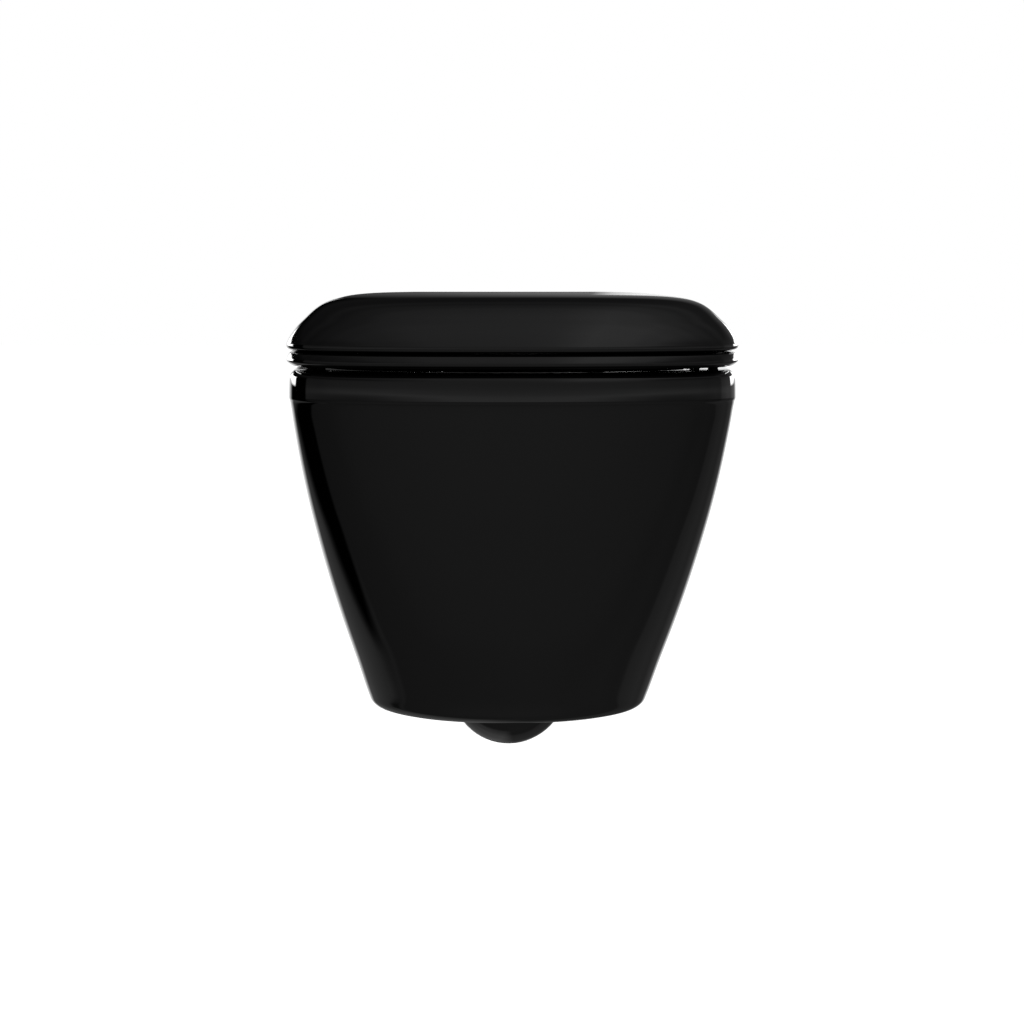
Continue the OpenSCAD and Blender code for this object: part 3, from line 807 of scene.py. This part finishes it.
class TOILET_OT_pads(bpy.types.Operator):
    """Sets the round rubber pads under the seat and the lid"""

    bl_idname = "toilet.pads"
    bl_label = "Rubber Pads"

    def execute(self, context):
        s = context.scene.toilet_pads
        rubber = material("rubber", epdm_rubber)
        rim = RIM / MM
        for name, body, node, places, low, height, radius in (
            ("seat_pads", "seat", "seat_bumpers", SEAT_PADS, rim, s.seat_height, s.seat_radius),
            ("lid_pads", "lid", "lid_bumpers", LID_PADS, rim + SEAT_TOP, s.lid_height, s.lid_radius),
        ):
            spots = [(side * x * MM, y * MM, low * MM) for side in (1, -1) for x, y in places]
            pads = scatter(name, pad_tree(), spots, {
                "Radius": radius, "Height": height, "Taper": s.taper, "Rubber": rubber,
            })
            smooth(pads, 35)
            finish_piece(pads, rubber, body, "rubber", node)
        return {"FINISHED"}


class TOILET_OT_fittings(bpy.types.Operator):
    """Finishes the hinges, dampers, fixings, catches and plugs"""

    bl_idname = "toilet.fittings"
    bl_label = "Fittings"

    def execute(self, context):
        finishes = {
            "vitreous_china": material("china", glazed_china, context.scene.toilet_pan.glaze),
            "duroplast": material("duroplast", duroplast, context.scene.toilet_seat.resin),
            "rubber": material("rubber", epdm_rubber),
            "chrome": material("chrome", chrome_plate),
            "steel": material("steel", turned_steel),
            "brass": material("brass", turned_brass),
            "nylon": material("nylon", natural_nylon),
            "black_plastic": material("abs", black_abs),
        }
        slots = {e["node"]: e["material_slot"] for e in frame["record"]["subparts"]}
        for name, obj in frame["nodes"].items():
            if name not in ("pan", "seat_ring", "lid", "seat_bumpers", "lid_bumpers"):
                coat_node(name, finishes[slots[name]])
        return {"FINISHED"}


class TOILET_OT_stage(bpy.types.Operator):
    """Makes the floor, the studio light and the camera"""

    bl_idname = "toilet.stage"
    bl_label = "Stage"

    def execute(self, context):
        s = context.scene.toilet_stage
        floor_z = RIM - s.floor_drop
        bm = bmesh.new()
        lowered = Matrix.Translation((0, 0, floor_z))
        bmesh.ops.create_grid(bm, x_segments=1, y_segments=1, size=s.floor_half, matrix=lowered)
        floor = from_bmesh("floor", bm)
        # the floor is lit nearly to the backdrop's white, and neither the gloss nor the dull colour sees it
        floor.data.materials.append(surface("Painted Floor, Matt", {
            "Base Color": srgb("#f4f4f4"), "Specular IOR Level": 0.1, "Emission Color": srgb("#ffffff"),
            "Emission Strength": s.floor_glow,
        }, relief=(400, 2, 0.1, 0.2), gloss=(300, 2, 0.85, 0.95)))
        floor.visible_glossy = False
        floor.visible_diffuse = False
        self.sky()
        self.top_light()
        context.scene.view_settings.view_transform = "Standard"
        camera = bpy.data.cameras.new("camera")
        camera.lens = s.lens
        camera.sensor_width = 36
        camera.clip_end = 60
        holder = bpy.data.objects.new("camera", camera)
        context.scene.collection.objects.link(holder)
        widest = Vector((0, WIDEST_Y, RIM + s.camera_height))
        turn = s.camera_turn
        holder.location = widest + s.camera_distance * Vector((-math.sin(turn), -math.cos(turn), 0))
        holder.rotation_euler = (math.pi / 2 - s.camera_pitch, 0, -turn)
        context.scene.camera = holder
        return {"FINISHED"}

    def top_light(self):
        """A wide soft light overhead that stays out of the gloss."""
        light = bpy.data.lights.new("top", "AREA")
        light.shape = "RECTANGLE"
        light.size, light.size_y = 1.6, 1.2
        light.energy = 10
        holder = bpy.data.objects.new("top", light)
        bpy.context.scene.collection.objects.link(holder)
        holder.visible_glossy = False
        place, target = Vector((0.2, -0.6, 2.2)), Vector((0, -0.3, 0.1))
        holder.location = place
        holder.rotation_euler = (target - place).to_track_quat("-Z", "Y").to_euler()

    def sky(self):
        """White backdrop to look at, and for the gloss a grey studio, darkest behind at the left."""
        world = bpy.data.worlds.new("studio")
        bpy.context.scene.world = world
        world.use_nodes = True
        tree = world.node_tree
        tree.nodes.clear()
        where = add_node(tree, "ShaderNodeTexCoord")
        parts = add_node(tree, "ShaderNodeSeparateXYZ", {"Vector": where.outputs["Generated"]}).outputs
        slant = add_node(
            tree, "ShaderNodeVectorMath", {"Vector": where.outputs["Generated"]}, operation="DOT_PRODUCT",
        )
        slant.inputs[1].default_value = STUDIO_SLANT
        axes = {"X": parts["X"], "Y": parts["Y"], "Z": parts["Z"], "slant": slant.outputs["Value"]}
        shade = {}
        for name, (axis, stops) in STUDIO.items():
            share = add_node(tree, "ShaderNodeMapRange", {"Value": axes[axis]}, From_Min=-1, From_Max=1)
            ramp = add_node(tree, "ShaderNodeValToRGB", {"Fac": share.outputs["Result"]})
            for place, value in stops[1:-1]:
                ramp.color_ramp.elements.new(place / 2 + 0.5)
            for stop, (place, value) in zip(ramp.color_ramp.elements, stops):
                stop.position, stop.color = place / 2 + 0.5, (value, value, value, 1)
            shade[name] = ramp.outputs["Color"]
        for name, operation, *sources in STUDIO_MIX:
            step = add_node(tree, "ShaderNodeMath", operation=operation)
            for place, source in enumerate(sources):
                if isinstance(source, str):
                    tree.links.new(shade[source], step.inputs[place])
                else:
                    step.inputs[place].default_value = source
            shade[name] = step.outputs[0]
        mirrored = add_node(tree, "ShaderNodeBackground", {"Color": shade["all"]}, Strength=1.0)
        seen = add_node(tree, "ShaderNodeBackground", Color=(1, 1, 1, 1), Strength=1.0)
        rays = add_node(tree, "ShaderNodeLightPath")
        mix = add_node(tree, "ShaderNodeMixShader", {
            0: rays.outputs["Is Camera Ray"], 1: mirrored.outputs[0], 2: seen.outputs[0],
        })
        add_node(tree, "ShaderNodeOutputWorld", {"Surface": mix.outputs[0]})


class TOILET_PT_panel(bpy.types.Panel):
    bl_label = "Wall-Hung Toilet"
    bl_space_type = "VIEW_3D"
    bl_region_type = "UI"
    bl_category = "Toilet"

    def draw(self, context):
        for name in GROUPS:
            box = self.layout.box()
            group = getattr(context.scene, name)
            for key in group.__annotations__:
                box.prop(group, key)
        for operator in OPERATORS:
            self.layout.operator(operator.bl_idname)


GROUPS = {
    "toilet_pan": PanSettings,
    "toilet_seat": SeatSettings,
    "toilet_pads": PadSettings,
    "toilet_stage": StageSettings,
}
OPERATORS = (
    TOILET_OT_stage, TOILET_OT_pan, TOILET_OT_seat, TOILET_OT_lid, TOILET_OT_pads, TOILET_OT_fittings,
)


def register():
    for cls in (*GROUPS.values(), *OPERATORS, TOILET_PT_panel):
        bpy.utils.register_class(cls)
    for name, cls in GROUPS.items():
        setattr(bpy.types.Scene, name, PointerProperty(type=cls))


def unregister():
    for name in GROUPS:
        delattr(bpy.types.Scene, name)
    for cls in reversed((*GROUPS.values(), *OPERATORS, TOILET_PT_panel)):
        bpy.utils.unregister_class(cls)


def main():
    register()
    bpy.ops.toilet.stage()
    bpy.ops.toilet.pan()
    bpy.ops.toilet.seat()
    bpy.ops.toilet.lid()
    bpy.ops.toilet.pads()
    bpy.ops.toilet.fittings()


if __name__ == "__main__":
    main()
